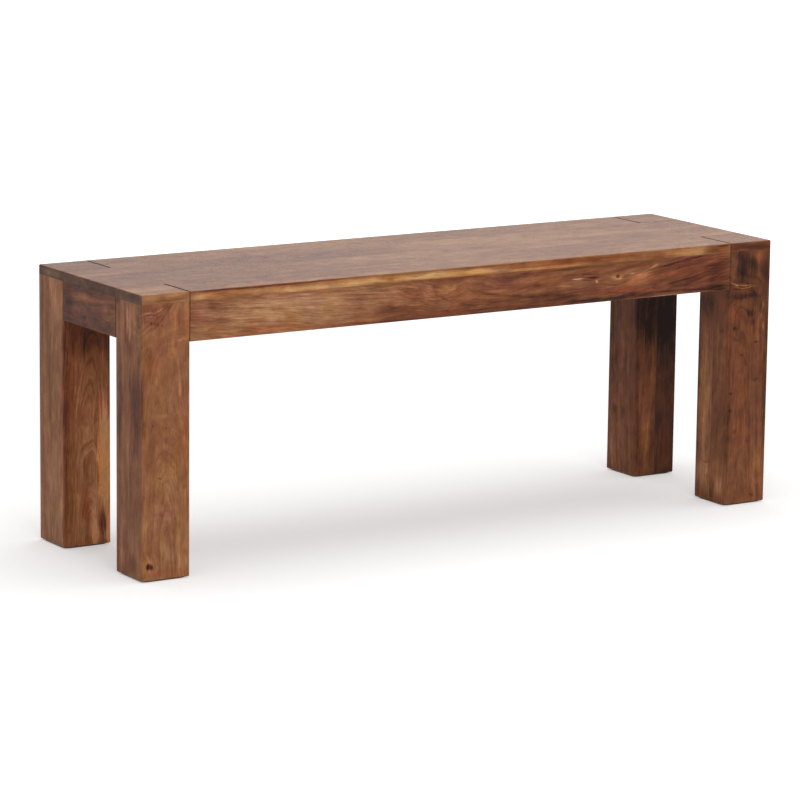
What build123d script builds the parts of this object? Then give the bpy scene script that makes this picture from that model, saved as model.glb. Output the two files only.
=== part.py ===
from build123d import *
import os

# A solid hardwood bench: a thin seat board flush over four rails and four square legs.
# Millimetres. +X runs along the bench to the right, +Y to the back, +Z up.
# The origin is on the floor under the middle of the bench.

# The whole bench
bench_length = 1200.0
bench_depth = 345.0
bench_height = 450.0

# Legs, each glued up from two boards, and the felt pads they stand on
leg_width = 84.0
pad_thickness = 2.0
pad_margin = 3.0

# Seat board and corner caps
seat_thickness = 15.0

# Rails between the legs, with a tenon on each end
rail_height = 63.0
rail_thickness = 20.0
tenon_thickness = 10.0
tenon_length = 36.0
tenon_shoulder = 8.0

# Cross battens under the seat, housed in the front and back rails
batten_width = 45.0
batten_thickness = 20.0
batten_spacing = 400.0
batten_bevel = 2.0
housing_depth = 8.0

# Dowels that hold each corner cap to its leg
dowel_diameter = 10.0
dowel_in_leg = 30.0
dowel_in_cap = 8.0

# Round-headed screws that hold the seat down to the battens, and the travel of their slots
shank_diameter = 4.5
head_diameter = 9.0
head_height = 3.0
point_length = 2.0
screw_hold = 10.0
slot_travel = 3.0

# Room between pieces
glue_gap = 0.1
pilot_gap = 0.05
slot_gap = 0.25
end_well = 2.0
dowel_well = 1.0
tip_well = 1.0

# Worked edges: outer arrises, leg ends, the rails' lower arrises, V grooves, hairline seams
arris_round = 2.0
foot_bevel = 1.5
rail_round = 1.2
groove_ease = 1.0
hairline_ease = 0.3

# How far a cut runs past what it cuts, and how near an edge must lie to be picked
overrun = 5.0
pick_slack = 0.02

# Heights and places that follow from the sizes
half_length = bench_length / 2
half_depth = bench_depth / 2
seat_bottom = bench_height - seat_thickness
rail_bottom = seat_bottom - rail_height
leg_height = seat_bottom - pad_thickness
board_thickness = leg_width / 2
leg_inner_x = half_length - leg_width
leg_inner_y = half_depth - leg_width
leg_centre_x = half_length - leg_width / 2
leg_centre_y = half_depth - leg_width / 2
rail_centre_x = half_length - rail_thickness / 2
rail_centre_y = half_depth - rail_thickness / 2
tenon_height = rail_height - 2 * tenon_shoulder
tenon_middle = rail_bottom + rail_height / 2
dowel_offset = board_thickness / 2
pad_width = leg_width - 2 * pad_margin
batten_bottom = seat_bottom - batten_thickness
batten_length = bench_depth - 2 * (rail_thickness - housing_depth + glue_gap)
screw_length = batten_thickness + screw_hold
slot_width = shank_diameter + 2 * slot_gap

# The two boards of a leg lie one behind the other or side by side: their names, the axis
# across their glue line, and how far their section is turned
one_behind_other = (("front", "back"), Axis.Y, 0)
side_by_side = (("left", "right"), Axis.X, 90)

# The four corners, as the sides that they lie on along X and Y, and how the leg is made up
corners = {
    "front_left": (-1, -1, one_behind_other),
    "front_right": (1, -1, one_behind_other),
    "back_right": (1, 1, side_by_side),
    "back_left": (-1, 1, one_behind_other),
}

# The seat's staves by the places of their front and back edges, and the length of each.
# The outer two are as wide as the caps and stop between them.
staves = {
    "seat_front_stave": (-half_depth, -leg_inner_y, leg_inner_x),
    "seat_inner_front_stave": (-leg_inner_y, 0, half_length),
    "seat_inner_back_stave": (0, leg_inner_y, half_length),
    "seat_back_stave": (leg_inner_y, half_depth, leg_inner_x),
}
stave_middles = [(front + back) / 2 for front, back, _ in staves.values()]
batten_places = [-batten_spacing / 2, batten_spacing / 2]


def edges_at(piece, x=None, y=None, z=None):
    """The piece's edges whose middles lie at the given places along X, Y and Z."""
    chosen = piece.edges()
    for axis, place in ((Axis.X, x), (Axis.Y, y), (Axis.Z, z)):
        if place is not None:
            chosen = chosen.filter_by_position(axis, place - pick_slack, place + pick_slack)
    return chosen


def dowel_places(side_x, side_y):
    """The places of a corner's two dowels, on the diagonal of its leg, one in each board."""
    steps = (-dowel_offset, dowel_offset)
    return [(side_x * (leg_centre_x + step), side_y * (leg_centre_y + step)) for step in steps]


os.makedirs("parts", exist_ok=True)

# Seat staves, edge-glued. Their outer top arrises are rounded. The outer staves' ends are
# eased where they meet the caps, and each has a pilot hole over every batten.
for name, (front, back, reach) in staves.items():
    with BuildPart() as stave:
        with BuildSketch(Plane.XY.offset(seat_bottom)):
            with Locations((0, (front + back) / 2)):
                Rectangle(2 * reach, back - front)
        extrude(amount=seat_thickness)
        if reach < half_length:
            outer_face = max(front, back, key=abs)
            fillet(edges_at(stave, y=outer_face, z=bench_height), arris_round)
            for end in (-reach, reach):
                chamfer(edges_at(stave, x=end, y=outer_face), groove_ease)
            chamfer(edges_at(stave, y=outer_face, z=seat_bottom), hairline_ease)
        else:
            for end in (-reach, reach):
                fillet(edges_at(stave, x=end, z=bench_height), arris_round)
                chamfer(edges_at(stave, x=end, z=seat_bottom), hairline_ease)
        with BuildSketch(Plane.XY.offset(seat_bottom)):
            with Locations(*[(x, (front + back) / 2) for x in batten_places]):
                Circle(shank_diameter / 2 + pilot_gap)
        extrude(amount=screw_hold + tip_well, mode=Mode.SUBTRACT)
    stave.part.label = name
    export_step(stave.part, f"parts/{name}.step")

# Corner caps, one block of seat thickness over each leg, with two blind dowel holes below
for corner, (side_x, side_y, _) in corners.items():
    outer_x = side_x * half_length
    outer_y = side_y * half_depth
    seam_x = side_x * leg_inner_x
    seam_y = side_y * leg_inner_y
    with BuildPart() as cap:
        with BuildSketch(Plane.XY.offset(seat_bottom)):
            with Locations((side_x * leg_centre_x, side_y * leg_centre_y)):
                Rectangle(leg_width, leg_width)
        extrude(amount=seat_thickness)
        outer_edges = edges_at(cap, x=outer_x, z=bench_height)
        outer_edges += edges_at(cap, y=outer_y, z=bench_height)
        outer_edges += edges_at(cap, x=outer_x, y=outer_y)
        fillet(outer_edges, arris_round)
        chamfer(edges_at(cap, x=seam_x, z=bench_height), groove_ease)
        chamfer(edges_at(cap, y=seam_y, z=bench_height), hairline_ease)
        chamfer(edges_at(cap, y=outer_y, z=seat_bottom), hairline_ease)
        with BuildSketch(Plane.XY.offset(seat_bottom)):
            with Locations(*dowel_places(side_x, side_y)):
                Circle(dowel_diameter / 2 + glue_gap)
        extrude(amount=dowel_in_cap + dowel_well, mode=Mode.SUBTRACT)
    cap.part.label = f"corner_cap_{corner}"
    export_step(cap.part, f"parts/corner_cap_{corner}.step")

# Leg boards. Each takes what falls in it of the leg's two mortises and two dowel holes.
# The uprights at the leg's corners are rounded and the edges it stands on are bevelled.
for corner, (side_x, side_y, (board_names, across, turn)) in corners.items():
    leg_centre = Vector(side_x * leg_centre_x, side_y * leg_centre_y)
    for side, outward, board_name in zip((-1, 1), (0, -1), board_names):
        with BuildPart() as board:
            with BuildSketch(Plane.XY.offset(pad_thickness)) as section:
                with Locations(leg_centre + across.direction * (side * board_thickness / 2)):
                    Rectangle(leg_width, board_thickness, rotation=turn)
                fillet(section.vertices().group_by(across)[outward], arris_round)
            extrude(amount=leg_height)
            chamfer(board.edges().group_by(Axis.Z)[0].sort_by(across)[outward], foot_bevel)
            with BuildSketch(Plane.YZ.offset(side_x * leg_inner_x)):
                with Locations((side_y * rail_centre_y, tenon_middle)):
                    Rectangle(tenon_thickness + 2 * glue_gap, tenon_height + 2 * glue_gap)
            extrude(amount=side_x * (tenon_length + end_well), mode=Mode.SUBTRACT)
            with BuildSketch(Plane.XZ.offset(-side_y * leg_inner_y)):
                with Locations((side_x * rail_centre_x, tenon_middle)):
                    Rectangle(tenon_thickness + 2 * glue_gap, tenon_height + 2 * glue_gap)
            extrude(amount=-side_y * (tenon_length + end_well), mode=Mode.SUBTRACT)
            with BuildSketch(Plane.XY.offset(seat_bottom)):
                with Locations(*dowel_places(side_x, side_y)):
                    Circle(dowel_diameter / 2 + glue_gap)
            extrude(amount=-dowel_in_leg, mode=Mode.SUBTRACT)
        board.part.label = f"leg_{corner}_{board_name}_board"
        export_step(board.part, f"parts/leg_{corner}_{board_name}_board.step")

# Front and back rails: the view from the front, tenons included, given its thickness.
# The top of the inner face is housed for the battens.
for name, side_y in (("front_rail", -1), ("back_rail", 1)):
    outer_y = side_y * half_depth
    with BuildPart() as rail:
        with BuildSketch(Plane.XZ.offset(-side_y * rail_centre_y)):
            with Locations((0, tenon_middle)):
                Rectangle(2 * leg_inner_x, rail_height)
        extrude(amount=rail_thickness / 2, both=True)
        fillet(edges_at(rail, y=outer_y, z=rail_bottom), rail_round)
        for end in (-leg_inner_x, leg_inner_x):
            chamfer(edges_at(rail, x=end, y=outer_y), groove_ease)
        fillet(edges_at(rail, y=outer_y - side_y * rail_thickness, z=rail_bottom), rail_round)
        with BuildSketch(Plane.XZ.offset(-side_y * rail_centre_y)):
            with Locations((0, tenon_middle)):
                Rectangle(2 * (leg_inner_x + tenon_length), tenon_height)
        extrude(amount=tenon_thickness / 2, both=True)
        with BuildSketch(Plane.XY.offset(batten_bottom)):
            with Locations(*[(x, outer_y - side_y * rail_thickness) for x in batten_places]):
                Rectangle(batten_width + 2 * glue_gap, 2 * housing_depth)
        extrude(amount=batten_thickness + overrun, mode=Mode.SUBTRACT)
    rail.part.label = name
    export_step(rail.part, f"parts/{name}.step")

# End rails, the same section and tenons between the front and back legs
for name, side_x in (("left_end_rail", -1), ("right_end_rail", 1)):
    outer_x = side_x * half_length
    with BuildPart() as end_rail:
        with BuildSketch(Plane.YZ.offset(side_x * rail_centre_x)):
            with Locations((0, tenon_middle)):
                Rectangle(2 * leg_inner_y, rail_height)
        extrude(amount=rail_thickness / 2, both=True)
        fillet(edges_at(end_rail, x=outer_x, z=rail_bottom), rail_round)
        for end in (-leg_inner_y, leg_inner_y):
            chamfer(edges_at(end_rail, x=outer_x, y=end), groove_ease)
        fillet(edges_at(end_rail, x=outer_x - side_x * rail_thickness, z=rail_bottom), rail_round)
        with BuildSketch(Plane.YZ.offset(side_x * rail_centre_x)):
            with Locations((0, tenon_middle)):
                Rectangle(2 * (leg_inner_y + tenon_length), tenon_height)
        extrude(amount=tenon_thickness / 2, both=True)
    end_rail.part.label = name
    export_step(end_rail.part, f"parts/{name}.step")

# Cross battens. Each screw goes up through a slot across the seat's grain, so that the seat
# can swell and shrink.
for name, place in zip(("left_batten", "right_batten"), batten_places):
    with BuildPart() as batten:
        with BuildSketch(Plane.XY.offset(batten_bottom)):
            with Locations((place, 0)):
                Rectangle(batten_width, batten_length)
        extrude(amount=batten_thickness)
        for side in (-1, 1):
            chamfer(edges_at(batten, x=place + side * batten_width / 2, z=batten_bottom), batten_bevel)
        with BuildSketch(Plane.XY.offset(batten_bottom)):
            with Locations(*[(place, y) for y in stave_middles]):
                SlotOverall(slot_width + slot_travel, slot_width, rotation=90)
        extrude(amount=batten_thickness, mode=Mode.SUBTRACT)
    batten.part.label = name
    export_step(batten.part, f"parts/{name}.step")

# Dowels, two to a cap, standing on the bottoms of their holes in the leg boards
with BuildPart() as cap_dowels:
    with BuildSketch(Plane.XY.offset(seat_bottom - dowel_in_leg)):
        for side_x, side_y, _ in corners.values():
            with Locations(*dowel_places(side_x, side_y)):
                Circle(dowel_diameter / 2)
    extrude(amount=dowel_in_leg + dowel_in_cap)
cap_dowels.part.label = "cap_dowels"
export_step(cap_dowels.part, "parts/cap_dowels.step")

# Screws, each turned about its own axis: a round head under the batten, a shank and a point
with BuildPart() as batten_screws:
    for x in batten_places:
        for y in stave_middles:
            with BuildSketch(Plane((x, y, batten_bottom), x_dir=(1, 0, 0), z_dir=(0, -1, 0))):
                with BuildLine():
                    Polyline(
                        (0, -head_height),
                        (head_diameter / 2, -head_height),
                        (head_diameter / 2, 0),
                        (shank_diameter / 2, 0),
                        (shank_diameter / 2, screw_length - point_length),
                        (0, screw_length),
                        close=True,
                    )
                make_face()
            revolve(axis=Axis((x, y, 0), (0, 0, 1)))
batten_screws.part.label = "batten_screws"
export_step(batten_screws.part, "parts/batten_screws.step")

# Felt pads, square and set in from the edges of the legs
for corner, (side_x, side_y, _) in corners.items():
    with BuildPart() as pad:
        with BuildSketch():
            with Locations((side_x * leg_centre_x, side_y * leg_centre_y)):
                Rectangle(pad_width, pad_width)
        extrude(amount=pad_thickness)
    pad.part.label = f"foot_pad_{corner}"
    export_step(pad.part, f"parts/foot_pad_{corner}.step")
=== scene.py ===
import math
from collections import namedtuple
from functools import partial
import bpy
import numpy as np
from mathutils import Euler, Matrix, Vector


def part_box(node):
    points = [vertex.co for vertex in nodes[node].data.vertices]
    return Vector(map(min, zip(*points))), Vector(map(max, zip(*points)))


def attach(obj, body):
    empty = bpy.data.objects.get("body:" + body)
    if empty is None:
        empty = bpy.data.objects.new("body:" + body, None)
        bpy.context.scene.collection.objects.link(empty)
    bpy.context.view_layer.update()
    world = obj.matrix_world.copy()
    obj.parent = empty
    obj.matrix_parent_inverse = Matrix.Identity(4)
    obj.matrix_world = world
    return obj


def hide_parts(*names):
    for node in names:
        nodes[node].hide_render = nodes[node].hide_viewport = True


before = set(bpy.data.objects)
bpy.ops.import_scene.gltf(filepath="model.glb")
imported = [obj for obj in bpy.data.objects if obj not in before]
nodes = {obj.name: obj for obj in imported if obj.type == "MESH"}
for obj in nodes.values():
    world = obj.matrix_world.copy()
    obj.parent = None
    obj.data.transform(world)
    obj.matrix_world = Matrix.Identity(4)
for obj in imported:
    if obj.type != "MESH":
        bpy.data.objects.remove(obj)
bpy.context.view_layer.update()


# The camera stands where the photographer stood: in front of the bench and to its left, a little
# above sitting height, with a long lens. It looks along +Y, turned right and tipped down.
camera_place = (-3.3767, -5.3184, 1.4399)
camera_turn = math.radians(32.22)
camera_tip = math.radians(11.115)
camera_roll = math.radians(0.697)
camera_lens = 175.15
film_width = 36.0
farthest_seen = 200.0

camera = bpy.data.objects.new("camera", bpy.data.cameras.new("camera"))
camera.data.sensor_width = film_width
camera.data.lens = camera_lens
camera.data.clip_end = farthest_seen
camera.matrix_world = (
    Matrix.Translation(camera_place)
    @ Matrix.Rotation(-camera_turn, 4, "Z")
    @ Matrix.Rotation(math.pi / 2 - camera_tip, 4, "X")
    @ Matrix.Rotation(camera_roll, 4, "Z")
)
bpy.context.scene.collection.objects.link(camera)
bpy.context.scene.camera = camera
bpy.context.scene.view_settings.view_transform = "Standard"


# A plain pale studio: a wide matt floor that keeps the bench's shadow, a white surround, one large
# lamp overhead and a softer one in front to the left. Seen from below, the floor is clear.
floor_reach = 60.0
floor_colour = (0.86, 0.86, 0.86, 1.0)
near_glow = 0.36
far_glow = 1.0
glow_from = 1.2
glow_to = 3.5
surround_light = 0.4
white_light = (1.0, 1.0, 1.0, 1.0)
# Each lamp's place, the point that it faces, its width in metres and its power in watts
lamps = {
    "overhead_lamp": ((0.4, 0.1, 3.2), (0.1, 0.0, 0.3), 3.0, 52.0),
    "front_lamp": ((-1.0, -3.3, 1.6), (-0.1, 0.0, 0.25), 2.4, 42.0),
}


def node(tree, kind, *inputs, **settings):
    """Adds a node with its settings, and fills its inputs in order with values or with links."""
    made = tree.nodes.new("ShaderNode" + kind)
    for key, value in settings.items():
        setattr(made, key, value)
    for socket, value in zip(made.inputs, inputs):
        if isinstance(value, bpy.types.NodeSocket):
            tree.links.new(value, socket)
        elif value is not None:
            socket.default_value = value
    return made


def fill(tree, made, values):
    """Fills a node's inputs by name, with values or with links, and gives its first output."""
    for name, value in values.items():
        if isinstance(value, bpy.types.NodeSocket):
            tree.links.new(value, made.inputs[name])
        else:
            made.inputs[name].default_value = value
    return made.outputs[0]


def new_material(name):
    """An empty material: its node tree and the output that its shader goes to."""
    material = bpy.data.materials.new(name)
    material.use_nodes = True
    material.node_tree.nodes.clear()
    return material, material.node_tree, material.node_tree.nodes.new("ShaderNodeOutputMaterial")


def seen_directly(tree):
    """1 for the camera, a reflection or light through glass, and 0 for the light that falls on things."""
    path = node(tree, "LightPath").outputs
    either = node(tree, "Math", path["Is Camera Ray"], path["Is Glossy Ray"], operation="MAXIMUM")
    either = node(tree, "Math", either.outputs[0], path["Is Transmission Ray"], operation="MAXIMUM")
    return either.outputs[0]


floor_material, tree, output = new_material("studio_floor")
matt = node(tree, "BsdfDiffuse", floor_colour)
from_bench = node(tree, "VectorMath", node(tree, "TexCoord").outputs["Object"], operation="LENGTH")
glow_share = node(
    tree, "MapRange", from_bench.outputs["Value"], glow_from, glow_to, near_glow, far_glow,
    interpolation_type="SMOOTHSTEP",
)
glow_strength = node(tree, "Math", seen_directly(tree), glow_share.outputs[0], operation="MULTIPLY")
glow = node(tree, "Emission", white_light, glow_strength.outputs[0])
lit = node(tree, "AddShader", matt.outputs[0], glow.outputs[0])
clear = node(tree, "BsdfTransparent")
from_below = node(tree, "NewGeometry").outputs["Backfacing"]
floor_shader = node(tree, "MixShader", from_below, lit.outputs[0], clear.outputs[0])
tree.links.new(floor_shader.outputs[0], output.inputs[0])
floor_mesh = bpy.data.meshes.new("studio_floor")
floor_mesh.from_pydata(
    [(x * floor_reach, y * floor_reach, 0.0) for x, y in ((-1, -1), (1, -1), (1, 1), (-1, 1))],
    [],
    [(0, 1, 2, 3)],
)
floor_mesh.materials.append(floor_material)
studio_floor = bpy.data.objects.new("studio_floor", floor_mesh)
bpy.context.scene.collection.objects.link(studio_floor)

world = bpy.data.worlds.new("studio_surround")
world.use_nodes = True
world.node_tree.nodes.clear()
tree = world.node_tree
ambient = node(tree, "Background", white_light, surround_light)
white = node(tree, "Background", white_light, 1.0)
surround = node(tree, "MixShader", seen_directly(tree), ambient.outputs[0], white.outputs[0])
tree.links.new(surround.outputs[0], node(tree, "OutputWorld").inputs[0])
bpy.context.scene.world = world

for name, (place, target, width, power) in lamps.items():
    lamp = bpy.data.lights.new(name, "AREA")
    lamp.size = width
    lamp.energy = power
    lamp_object = bpy.data.objects.new(name, lamp)
    lamp_object.location = place
    lamp_object.rotation_mode = "QUATERNION"
    lamp_object.rotation_quaternion = (Vector(target) - Vector(place)).to_track_quat("-Z", "Y")
    bpy.context.scene.collection.objects.link(lamp_object)


# The seat board: four staves of a figured brown hardwood, glued edge to edge and planed flush, then
# sanded and given a thin satin lacquer. The front stave was cut at the edge of the log, so its front
# edge is golden sapwood.
wood_tones = {
    0.00: (44, 28, 25),
    0.15: (78, 46, 37),
    0.30: (108, 64, 46),
    0.45: (130, 80, 56),
    0.60: (150, 98, 68),
    0.75: (171, 120, 86),
    0.88: (191, 141, 102),
    1.00: (212, 166, 124),
}
end_grain_tint = (0.53, 0.585, 0.67)
end_grain_from = 0.5
hue_drift = (0.2, 0.08, 0.5)
pore_from, pore_to, pore_depth, pore_roughness = 0.58, 0.7, 0.2, 0.2
# How wide the arrises are painted paler, and by how much: partly wear, partly a painted highlight on the
# rounded arris
wear_and_highlight_width, wear_and_highlight_paleness = 2.2, 0.16
relief_strength, relief_height = 0.2, 0.0002
dirt_roughness = 0.7
axis_of = {"x": (1.0, 0.0, 0.0), "y": (0.0, 1.0, 0.0), "z": (0.0, 0.0, 1.0)}

# Each kind of figure in the wood is a layer of noise, with features so many millimetres along the grain
# and across it. For the rings, across counts rings. The quick bends move the wood by so many
# millimetres along the grain and across it.
Figure = namedtuple("Figure", "layer along across detail rough", defaults=(0.5,))
slow_bends = Figure(1, 420, 80, 1)
quick_bends = Figure(2, 60, 18, 2)
quick_bend_moves = (12, 6)
streaks = Figure(3, 60, 2.6, 3, 0.55)
mottling = Figure(4, 30, 15, 3, 0.6)
pore_lines = Figure(5, 13, 0.8, 1)
curls = Figure(6, 26, 15, 1)
fibre_lines = Figure(7, 42, 1.5, 3, 0.55)
hue_drifts = Figure(8, 70, 25, 1)
ring_bands = Figure(11, 400, 4.5, 1, 0.55)
ring_lines = Figure(17, 90, 1, 2, 0.55)
seed_steps = (7.31, 5.17, 3.89)
layer_steps = (3.7, 9.1, 6.3)

# A mark is an ellipsoid in the wood, in millimetres, turned about each axis by so many degrees. In it
# the tone changes by so many hundredths, a stain leaves so many per cent of the red, green and blue,
# the rings are pushed outwards, or the grain curls. It spreads a little past its reach, and is full in
# a core that is a share of that.
Mark = namedtuple(
    "Mark", "middle reach change stain turn push curl",
    defaults=(0, None, (0, 0, 0), 0.0, 0.0),
)
mark_spread = 1.35
mark_core, mark_raggedness = 0.15, 0.9
curl_core = 0.2


def box_in_mm(piece):
    """The lowest and highest corners of a CAD piece, in millimetres."""
    return tuple(tuple(round(1000 * value, 2) for value in corner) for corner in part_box(piece))


# The bench is alike at its four corners, so the back right cap says where the legs' inner and outer
# faces stand. A joint line is a box from corner to corner, with how far its dirt spreads and how dark
# it is: the V groove across the grain between a cap and the outer stave, the weaker line that it
# leaves on the seat's edge, and the hairline along the grain.
(inner_x, inner_y, seat_under), (outer_x, outer_y, seat_top) = box_in_mm("corner_cap_back_right")
seat_block = ((-outer_x, -outer_y, seat_under), (outer_x, outer_y, seat_top))
Joint = namedtuple("Joint", "low high width depth")
dirt_core_share = 0.4
groove_foot, groove_end = seat_top - 2, outer_y - 5.5
seam_from, seam_top = groove_end + 1, seat_top - 1
cap_groove = Joint((inner_x, inner_y, groove_foot), (inner_x, groove_end, seat_top), 2.6, 0.88)
cap_seam = Joint((inner_x, seam_from, seat_under), (inner_x, outer_y, seam_top), 1.2, 0.34)
cap_hairline = Joint((inner_x, inner_y, groove_foot), (outer_x, inner_y, seat_top), 1.2, 0.5)


def linear(red, green, blue):
    """A colour written as it looks on a screen, from 0 to 255, as Blender's own light values."""
    shares = [c / 255 for c in (red, green, blue)]
    return tuple(c / 12.92 if c <= 0.04045 else ((c + 0.055) / 1.055) ** 2.4 for c in shares) + (1.0,)


def toned(tree, level, tones):
    """The colour of a level from 0 to 1, from a ramp through the tones."""
    ramp = tree.nodes.new("ShaderNodeValToRGB")
    stops = ramp.color_ramp.elements
    while len(stops) < len(tones):
        stops.new(0.5)
    for stop, (where, colour) in zip(stops, tones.items()):
        stop.position = where
        stop.color = linear(*colour)
    tree.links.new(level, ramp.inputs[0])
    return ramp.outputs[0]


def by_axis(grain, along, across):
    """One value for the axis that the grain runs along and another for the two across it."""
    return tuple(along if one else across for one in axis_of[grain])


def on_front(left, face, across, down, wide, tall, change=0, stain=None, turn=0.0, deep=6.0, **more):
    """A mark on a face seen from the front: its middle from the left edge and from the top of the
    bench, half its width and height, and a turn that takes its right end down."""
    middle = (left + across, face, seat_top - down)
    return Mark(middle, (wide, deep, tall), change, stain, (0.0, turn, 0.0), **more)


def on_left(face, back, across, down, wide, tall, change=0, stain=None, turn=0.0, deep=6.0, **more):
    """The same on a face seen from the left, where across runs from its back edge to the front."""
    middle = (face, back - across, seat_top - down)
    return Mark(middle, (deep, wide, tall), change, stain, (turn, 0.0, 0.0), **more)


def middle_and_half(low, high):
    """The middle of a box and half its size."""
    middle = tuple((a + b) / 2 for a, b in zip(low, high))
    return middle, tuple((b - a) / 2 for a, b in zip(low, high))


def solid_wood(
    piece, grain, pith, lean=(0, 0, 0), bow=(0, 0, 0), tone=0.52, tint=(1, 1, 1),
    band=0.18, lines=0.2, fibre=0.34, mottle=0.24, ring=4.0, wander=7.0, seed=0.0,
    marks=(), joints=(), block=seat_block, roughness=0.26, gloss=0.052,
):
    """Gives a CAD piece solid wood, worked out through the whole block, so that faces and ends agree.

    Places are in millimetres in the bench's own frame. Growth rings lie at equal distances from the
    pith, a line along the grain that may lean or bow, and slow noise bends them. Rings, mottle and
    marks raise or lower one tone, which a ramp turns into colour. Fibres, pores, end grain and the
    dirt in a joint then darken that colour, and the arrises of the block are painted a little paler,
    partly as wear and partly as a painted highlight.
    band, lines, fibre and mottle say how strong each kind of figure is, ring is the distance from one
    growth ring to the next, and wander is how far the slow bends go.
    """
    material, tree, output = new_material(piece + "_wood")

    def math_node(operation, *inputs):
        return node(tree, "Math", *inputs, operation=operation).outputs[0]

    def vector_node(operation, *inputs):
        return node(tree, "VectorMath", *inputs, operation=operation).outputs[0]

    def scaled(vector, factor):
        return fill(tree, node(tree, "VectorMath", vector, operation="SCALE"), {"Scale": factor})

    def length_of(vector):
        return node(tree, "VectorMath", vector, operation="LENGTH").outputs["Value"]

    def ramped(value, low, high, at_low, at_high):
        made = node(
            tree, "MapRange", value, low, high, at_low, at_high,
            interpolation_type="SMOOTHSTEP", clamp=False,
        )
        return made.outputs[0]

    def noise(where, figure, output_name="Fac"):
        """A layer of noise, stretched along the grain and moved to a place of its own by the seed."""
        shift = tuple(seed * s + figure.layer * t for s, t in zip(seed_steps, layer_steps))
        stretch = by_axis(grain, 1 / figure.along, 1 / figure.across)
        where = vector_node("MULTIPLY_ADD", where, stretch, shift)
        return node(tree, "TexNoise", where, None, 1.0, figure.detail, figure.rough).outputs[output_name]

    def offset(where, figure):
        """Noise in three directions, centred on zero."""
        return vector_node("SUBTRACT", noise(where, figure, "Color"), (0.5, 0.5, 0.5))

    place = scaled(node(tree, "TexCoord").outputs["Object"], 1000.0)
    wavy = vector_node("MULTIPLY_ADD", offset(place, quick_bends), by_axis(grain, *quick_bend_moves), place)
    streak = noise(place, streaks)

    def within(mark, core, ragged=0.0):
        """1 in the core of a mark, falling smoothly to 0 at its edge, which may follow the fibres."""
        reach = tuple(mark_spread * r for r in mark.reach)
        if any(mark.turn):
            around = Euler([math.radians(angle) for angle in mark.turn]).to_matrix()
            from_middle = vector_node("SUBTRACT", wavy, mark.middle)
            parts = []
            for axis, r in zip(around.col, reach):
                dot = node(tree, "VectorMath", from_middle, tuple(axis / r), operation="DOT_PRODUCT")
                parts.append(dot.outputs["Value"])
            turned = node(tree, "CombineXYZ", *parts).outputs[0]
        else:
            back = tuple(-m / r for m, r in zip(mark.middle, reach))
            turned = vector_node("MULTIPLY_ADD", wavy, tuple(1 / r for r in reach), back)
        far = length_of(turned)
        if ragged:
            far = math_node("MULTIPLY_ADD", math_node("SUBTRACT", streak, 0.5), ragged, far)
        return ramped(far, core, 1.0, 1.0, 0.0)

    # How far the point is from the pith, once the bends and curls of the grain are taken out
    bent = vector_node("MULTIPLY_ADD", offset(place, slow_bends), by_axis(grain, wander, 4 * wander), wavy)
    for mark in marks:
        if mark.curl:
            curl = scaled(offset(place, curls), within(mark, curl_core))
            bent = vector_node("ADD", bent, scaled(curl, mark.curl))

    along = node(tree, "VectorMath", place, axis_of[grain], operation="DOT_PRODUCT").outputs["Value"]
    metres = math_node("MULTIPLY", along, 0.001)
    drift = vector_node("ADD", scaled(lean, along), scaled(bow, math_node("MULTIPLY", metres, metres)))
    flowing = vector_node("SUBTRACT", bent, vector_node("ADD", drift, pith))
    radius = length_of(vector_node("MULTIPLY", flowing, by_axis(grain, 0.0, 1.0)))
    for mark in marks:
        if mark.push:
            radius = math_node("MULTIPLY_ADD", within(mark, 0.0), mark.push, radius)

    def ring_noise(figure):
        """Noise that changes from ring to ring, and slowly along the grain."""
        rings_out = math_node("DIVIDE", radius, figure.across * ring)
        run = math_node("MULTIPLY_ADD", along, 1 / figure.along, seed + figure.layer)
        where = node(tree, "CombineXYZ", rings_out, run, seed).outputs[0]
        return node(tree, "TexNoise", where, None, 1.0, figure.detail, figure.rough).outputs["Fac"]

    # The tone: rings, mottle and marks
    level = tone
    for value, share in (
        (ring_noise(ring_bands), 2 * band),
        (ring_noise(ring_lines), 2 * lines),
        (noise(flowing, mottling), 2 * mottle),
    ):
        level = math_node("MULTIPLY_ADD", math_node("SUBTRACT", value, 0.5), share, level)
    shift, staining = 0.0, (1, 1, 1)
    for mark in marks:
        if mark.change or mark.stain:
            share = within(mark, mark_core, mark_raggedness)
        if mark.change:
            shift = math_node("MULTIPLY_ADD", share, mark.change / 100, shift)
        if mark.stain:
            stain = scaled(tuple(s / 100 - 1 for s in mark.stain), share)
            staining = vector_node("MULTIPLY_ADD", staining, stain, staining)
    level = math_node("ADD", level, shift)

    # The colour of that tone, drifting a little in hue, with the marks' stains
    colour = vector_node("MULTIPLY", toned(tree, level, wood_tones), tint)
    drifting = vector_node("MULTIPLY_ADD", offset(flowing, hue_drifts), hue_drift, (1, 1, 1))
    colour = vector_node("MULTIPLY", vector_node("MULTIPLY", colour, drifting), staining)

    # Fibres and pores, the darker ends of the fibres, the dirt in a joint and the worn arrises
    fibres = noise(flowing, fibre_lines)
    pores = ramped(noise(flowing, pore_lines), pore_from, pore_to, 0.0, 1.0)
    shade = math_node("MULTIPLY_ADD", math_node("SUBTRACT", fibres, 0.5), 2 * fibre, 1.0)
    shade = math_node("MULTIPLY_ADD", pores, -pore_depth, shade)
    facing = node(
        tree, "VectorMath", node(tree, "NewGeometry").outputs["Normal"], axis_of[grain],
        operation="DOT_PRODUCT",
    )
    end_grain = ramped(math_node("ABSOLUTE", facing.outputs["Value"]), end_grain_from, 1.0, 0.0, 1.0)
    ends = vector_node("ADD", scaled(tuple(t - 1 for t in end_grain_tint), end_grain), (1, 1, 1))
    colour = vector_node("MULTIPLY", colour, ends)

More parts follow.
